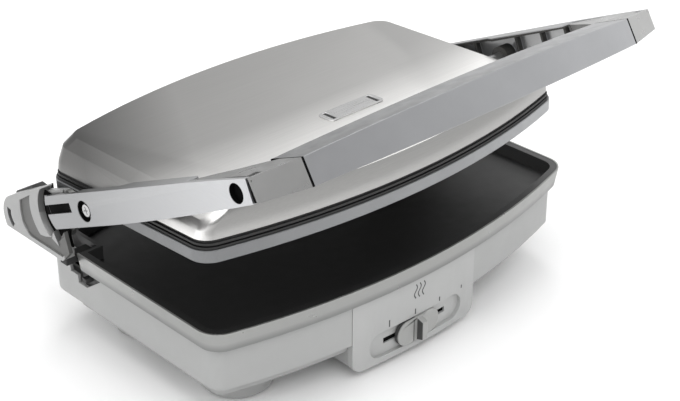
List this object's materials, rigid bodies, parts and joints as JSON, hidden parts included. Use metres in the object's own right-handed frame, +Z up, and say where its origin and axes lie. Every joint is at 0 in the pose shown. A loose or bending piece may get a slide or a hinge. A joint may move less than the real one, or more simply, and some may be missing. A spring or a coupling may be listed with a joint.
{
  "type": "contact grill and sandwich press",
  "caption": "Electric contact grill and sandwich press standing open: floating lid on two arms with a bowed grip bar, hinged side links, sliding heat control and height clip.",
  "frame": {"origin": "middle of the footprint of the whole press, on the table under the feet", "axes": "+X to the right seen from the front, -Y to the front, +Z up"},
  "size_m": [0.382, 0.3148, 0.2393],
  "materials": {
    "base_plastic": "fine matt moulding",
    "cover_plastic": "fine matt moulding",
    "panel_plastic": "satin moulding",
    "knob_plastic": "satin silver moulding",
    "inner_plastic": "plain moulding",
    "ceramic": null,
    "rim_metal": "satin silver",
    "black_coating": "black non-stick coating",
    "heater_metal": "dull sheath",
    "shield_metal": "plain sheet",
    "black_plastic": "matt black",
    "rubber": "matt",
    "gasket_rubber": "matt, ridged",
    "bracket_metal": "plain",
    "screw_metal": "plain",
    "link_metal": "satin cast",
    "arm_metal": "polished",
    "bar_metal": "satin, slightly blue",
    "corner_metal": "satin",
    "brushed_cover": "brushed side to side",
    "indicator_metal": "satin",
    "lens_plastic": "dark translucent",
    "lamp_glass": "clear glass"
  },
  "bodies": {
    "base": {"base_housing": "base_plastic", "bottom_cover": "cover_plastic", "rubber_feet": "rubber", "control_panel": "panel_plastic", "thermostat": "ceramic", "lower_rim_band": "rim_metal", "lower_plate": "black_coating", "lower_heater": "heater_metal", "lower_heat_shield": "shield_metal", "terminal_block": "ceramic", "thermal_fuse": "ceramic", "cord_gland": "black_plastic", "hinge_bracket_left": "bracket_metal", "hinge_bracket_right": "bracket_metal", "hinge_pins": "bracket_metal", "base_screws": "screw_metal", "bracket_screws": "screw_metal"},
    "slider": {"slider_knob": "knob_plastic", "slider_carriage": "inner_plastic"},
    "pinion": {"thermostat_pinion": "inner_plastic"},
    "clip": {"height_clip": "black_plastic"},
    "links": {"hinge_link_left": "link_metal", "hinge_link_right": "link_metal", "link_cap_left": "black_plastic", "link_cap_right": "black_plastic", "heel_pad": "rubber", "arm_pivot_pins": "bracket_metal"},
    "arms": {"arm_left": "arm_metal", "arm_right": "arm_metal", "handle_bar": "bar_metal", "handle_corner_left": "corner_metal", "handle_corner_right": "corner_metal", "arm_screws": "screw_metal", "wire_cover": "black_plastic"},
    "lid": {"lid_cover": "brushed_cover", "lid_gasket": "gasket_rubber", "upper_rim_band": "rim_metal", "upper_plate": "black_coating", "upper_heater": "heater_metal", "upper_heat_shield": "shield_metal", "lid_frame": "bracket_metal", "lid_pivot_pins": "bracket_metal", "indicator_plate": "indicator_metal", "indicator_lenses": "lens_plastic", "neon_lamps": "lamp_glass", "lid_screws": "screw_metal"}
  },
  "joints": [
    {"name": "link_open", "type": "hinge", "parent": "base", "child": "links", "pos_m": [0, 0.13793, 0.088], "axis": [-1, 0, 0], "range_deg": [0, 75]},
    {"name": "arm_press", "type": "hinge", "parent": "links", "child": "arms", "pos_m": [0, 0.07893, 0.1195], "axis": [-1, 0, 0], "range_deg": [-30.5, 0]},
    {"name": "lid_float", "type": "hinge", "parent": "arms", "child": "lid", "pos_m": [0, -0.00093, 0.15122], "axis": [-1, 0, 0], "range_deg": [0, 27.3]},
    {"name": "clip_slide", "type": "slide", "parent": "base", "child": "clip", "axis": [0, 1, 0], "range_m": [0, 0.018]},
    {"name": "heat_slide", "type": "slide", "parent": "base", "child": "slider", "axis": [1, 0, 0], "range_m": [-0.025, 0.025]},
    {"name": "heat_turn", "type": "hinge", "parent": "base", "child": "pinion", "pos_m": [-0.0063, -0.06497, 0.021], "axis": [0, 0, -1], "range_deg": [-119.38, 119.38]}
  ],
  "couplings": [
    {"joint": "lid_float", "follows": "arm_press", "ratio": -0.89508},
    {"joint": "heat_turn", "follows": "heat_slide", "rad_per_m": -83.333}
  ]
}
